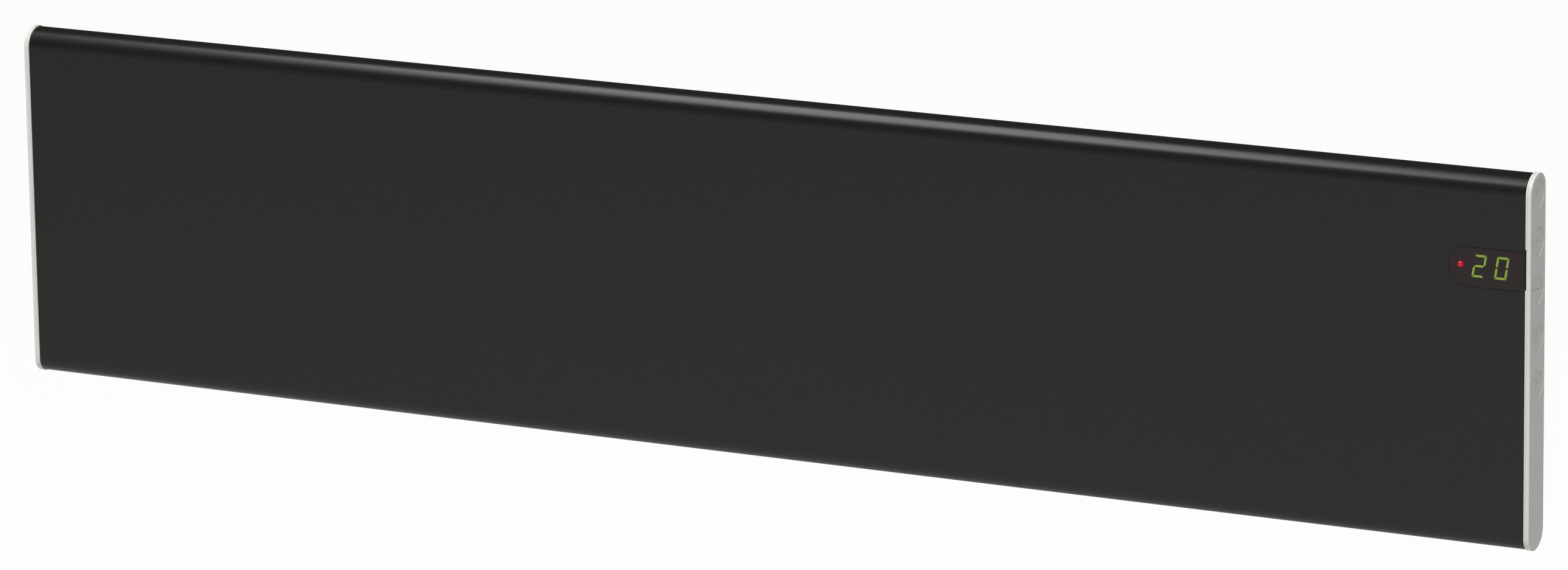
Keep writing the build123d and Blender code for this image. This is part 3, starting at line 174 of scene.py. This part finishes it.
def glowing(name, body, light, strength, rough=0.3, grain=900.0, fade=None):
    """Tinted plastic lit from inside; its glow has a painted highlight where it faces the eye and painted
    shade towards its rim.

    fade is the stretch along Y, from its start to its end, in which the light dies away.
    """
    made = Nodes(name)
    shade = made.spread(made.noise(grain), 0.9, 1.0)
    made.feed("Base Color", made.mix(shade, (0.0, 0.0, 0.0), body))
    # painted highlight and painted shade: the glow is the bright colour where the surface faces the eye and
    # fades to the body's colour towards the rim, so a dome looks brighter in its middle and darker at its
    # edge
    facing = made.add("ShaderNodeLayerWeight").outputs["Facing"]
    painted_rim_shade = made.spread(facing, 0.0, 1.0, start=0.1, end=0.9)
    made.feed("Emission Color", made.mix(painted_rim_shade, light, body))
    if fade:
        made.feed("Emission Strength", made.spread(made.depth(), strength, 0.0, *fade))
    return made.set(emission_strength=strength, roughness=rough).material


FILM = 0.88            # opacity of the window's film
FILM_EDGE = 0.1 * MM   # half the depth in which it ends, in the middle of the window


def smoked(name, dark, light, rough=(0.12, 0.16), grain=1500.0, patch=30.0):
    """Window with a dark film on its face, which lets the lit digits through; its back is clear."""
    made = Nodes(name)
    made.feed("Base Color", made.mix(made.spread(made.noise(patch), 0.0, 1.0), dark, light))
    made.feed("Roughness", made.spread(made.noise(grain), *rough))
    face, back = (corner.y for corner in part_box("display_lens"))
    middle = (face + back) / 2
    made.feed("Alpha", made.spread(made.depth(), FILM, 0.0, middle - FILM_EDGE, middle + FILM_EDGE))
    return made.set(specular_ior_level=0.3).material


def make_materials():
    """One material for each slot of the record."""
    return {
        "panel_paint": surface("panel_paint", (0.01, 0.01, 0.0093), (0.0108, 0.0108, 0.0101), (0.25, 0.31),
                               grain=1800.0, bump=0.000012, patch=2.5, specular_ior_level=0.33),
        "back_steel": galvanised("back_steel", (0.41, 0.42, 0.43), (0.49, 0.5, 0.51)),
        "cap_plastic": surface("cap_plastic", (0.7, 0.71, 0.655), (0.725, 0.735, 0.68), (0.4, 0.48),
                               grain=1400.0, bump=0.00001, patch=12.0),
        "frame_black": surface("frame_black", (0.004, 0.004, 0.004), (0.006, 0.006, 0.0055), (0.5, 0.6),
                               specular_ior_level=0.3),
        "smoked_lens": smoked("smoked_lens", (0.021, 0.0112, 0.0112), (0.023, 0.0125, 0.0125)),
        "digit_light": glowing("digit_light", (0.19, 0.33, 0.05), (0.51, 0.8, 0.076), 3.3),
        "led_light": glowing("led_light", (0.2, 0.0, 0.01), (0.42, 0.001, 0.02), 0.85, rough=0.16,
                             fade=[corner.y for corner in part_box("display_lens")]),
        "module_black": surface("module_black", (0.012, 0.011, 0.011), (0.016, 0.015, 0.014), (0.6, 0.7)),
        "board": surface("board", (0.01, 0.09, 0.03), (0.016, 0.13, 0.045), (0.3, 0.4), grain=700.0),
        "component": surface("component", (0.018, 0.018, 0.019), (0.03, 0.03, 0.031), (0.4, 0.55)),
        "blue_part": surface("blue_part", (0.01, 0.05, 0.19), (0.015, 0.07, 0.25), (0.3, 0.4)),
        "nylon": surface("nylon", (0.48, 0.47, 0.42), (0.55, 0.54, 0.49), (0.45, 0.55)),
        "tray_plastic": surface("tray_plastic", (0.4, 0.4, 0.38), (0.46, 0.46, 0.44), (0.45, 0.55)),
        "aluminium": brushed("aluminium", (0.72, 0.73, 0.74), (0.8, 0.81, 0.82)),
        "sheath": brushed("sheath", (0.34, 0.32, 0.29), (0.46, 0.43, 0.39), (0.35, 0.5)),
        "ceramic": surface("ceramic", (0.76, 0.73, 0.65), (0.83, 0.8, 0.73), (0.55, 0.7)),
        "zinc_steel": brushed("zinc_steel", (0.5, 0.51, 0.53), (0.63, 0.64, 0.66), (0.3, 0.45), scale=90.0),
        "bracket_steel": surface("bracket_steel", (0.017, 0.017, 0.018), (0.024, 0.024, 0.025), (0.42, 0.55),
                                 grain=1200.0, bump=0.00004),
        "spring_steel": brushed("spring_steel", (0.36, 0.37, 0.4), (0.5, 0.51, 0.54), (0.22, 0.32)),
        "rubber": surface("rubber", (0.012, 0.012, 0.012), (0.02, 0.02, 0.02), (0.7, 0.85), bump=0.00005),
        "gland_nylon": surface("gland_nylon", (0.012, 0.012, 0.012), (0.018, 0.018, 0.018), (0.4, 0.5)),
        "lead_black": surface("lead_black", (0.012, 0.012, 0.012), (0.018, 0.018, 0.018), (0.35, 0.45)),
        "lead_white": surface("lead_white", (0.7, 0.69, 0.66), (0.78, 0.77, 0.74), (0.35, 0.45)),
        "lead_earth": surface("lead_earth", (0.1, 0.3, 0.02), (0.6, 0.55, 0.04), (0.35, 0.45), patch=120.0),
    }


def dress_nodes(materials):
    """Each carried-over node takes the material of its slot in the record."""
    for entry in frame["record"]["subparts"]:
        mesh = nodes[entry["node"]].data
        mesh.materials.clear()
        mesh.materials.append(materials[entry["material_slot"]])


# ---- studio ----
FLOOR_Z = -0.62
FLOOR_HALF = 30.0
FLOOR_GREY = (0.8, 0.8, 0.8, 1.0)
FLOOR_ROUGH = 0.9
FLOOR_SEEN = 0.95      # share of plain white in the floor that the camera sees; the rest is lit and shaded
AMBIENT = 0.16         # the world's strength for the rays that light the scene
HIGH_STUDIO = 0.04     # what glossy surfaces see above the backdrop
BACKDROP_TOP = 0.07    # sine of the height at which the backdrop has faded out for them
WHITE = (1.0, 1.0, 1.0, 1.0)


def seen_by(tree, *rays):
    """1 for the named kinds of ray and 0 for others."""
    path = tree.nodes.new("ShaderNodeLightPath")
    total = path.outputs[rays[0]]
    for ray in rays[1:]:
        either = tree.nodes.new("ShaderNodeMath")
        either.operation = "MAXIMUM"
        tree.links.new(total, either.inputs[0])
        tree.links.new(path.outputs[ray], either.inputs[1])
        total = either.outputs[0]
    return total


def make_floor():
    """A pale floor, nearly white to the camera, that keeps the object's shadow."""
    mesh = bpy.data.meshes.new("floor")
    half = FLOOR_HALF
    corners = [(-half, -half), (half, -half), (half, half), (-half, half)]
    mesh.from_pydata([(x, y, FLOOR_Z) for x, y in corners], [], [(0, 1, 2, 3)])
    floor = bpy.data.objects.new("floor", mesh)
    bpy.context.scene.collection.objects.link(floor)
    made = Nodes("floor")
    made.set(base_color=FLOOR_GREY, roughness=FLOOR_ROUGH)
    glow = made.add("ShaderNodeEmission")
    keep = made.add("ShaderNodeMath", operation="MULTIPLY")
    keep.inputs[1].default_value = FLOOR_SEEN
    made.link(seen_by(made.tree, "Is Camera Ray", "Is Transmission Ray"), keep.inputs[0])
    blend = made.add("ShaderNodeMixShader")
    made.link(keep.outputs[0], blend.inputs["Fac"])
    made.link(made.shader.outputs[0], blend.inputs[1])
    made.link(glow.outputs[0], blend.inputs[2])
    made.link(blend.outputs[0], made.tree.nodes["Material Output"].inputs["Surface"])
    mesh.materials.append(made.material)


def make_world():
    """White to the camera; glossy surfaces see that white low down and a dim studio above it."""
    world = bpy.data.worlds.new("studio")
    bpy.context.scene.world = world
    world.use_nodes = True
    tree = world.node_tree

    def step(kind, *inputs):
        """A node's outputs; its inputs come in order, and None passes over one."""
        node = tree.nodes.new(kind)
        for socket, value in zip(node.inputs, inputs):
            if hasattr(value, "links"):
                tree.links.new(value, socket)
            elif value is not None:
                socket.default_value = value
        return node.outputs

    height = step("ShaderNodeSeparateXYZ", step("ShaderNodeTexCoord")["Generated"])["Z"]
    glossy = step("ShaderNodeMapRange", height, 0.0, BACKDROP_TOP, 1.0, HIGH_STUDIO)["Result"]
    level = step("ShaderNodeMix", seen_by(tree, "Is Glossy Ray"), None, AMBIENT, glossy)["Result"]
    straight = seen_by(tree, "Is Camera Ray", "Is Transmission Ray")
    level = step("ShaderNodeMix", straight, None, level, 1.0)["Result"]
    background = tree.nodes["Background"]
    tree.links.new(level, background.inputs["Strength"])
    background.inputs["Color"].default_value = WHITE


def area_light(name, yaw, rise, distance, size, power, target=(0.0, 0.0, 0.0), roll=0.0):
    """A soft box seen from its target at yaw degrees from the front towards +X and rise degrees up.

    Its width lies along X until roll turns it, in degrees, which lowers its end at -X.
    """
    yaw, rise = math.radians(yaw), math.radians(rise)
    way = Vector((math.sin(yaw) * math.cos(rise), -math.cos(yaw) * math.cos(rise), math.sin(rise)))
    data = bpy.data.lights.new(name, "AREA")
    data.shape = "RECTANGLE"
    data.size, data.size_y = size
    data.energy = power
    lamp = bpy.data.objects.new(name, data)
    lamp.location = Vector(target) + way * distance
    along = (Vector((1.0, 0.0, 0.0)) - way * way.x).normalized()
    facing = Matrix((along, way.cross(along), way)).transposed()
    lamp.rotation_euler = (facing @ Matrix.Rotation(math.radians(roll), 3, "Z")).to_euler()
    bpy.context.scene.collection.objects.link(lamp)


def make_lights():
    area_light("key", yaw=20.0, rise=58.0, distance=6.0, size=(2.2, 1.8), power=236.0)
    area_light("top_box", yaw=-54.0, rise=56.0, distance=4.0, size=(1.1, 2.8), power=78.0,
               target=(0.1, 0.0, 0.13), roll=14.0)
    area_light("back_fill", yaw=160.0, rise=40.0, distance=6.0, size=(3.0, 3.0), power=45.0)


make_camera()
dress_nodes(make_materials())
make_floor()
make_world()
make_lights()
bpy.context.scene.view_settings.view_transform = "Standard"
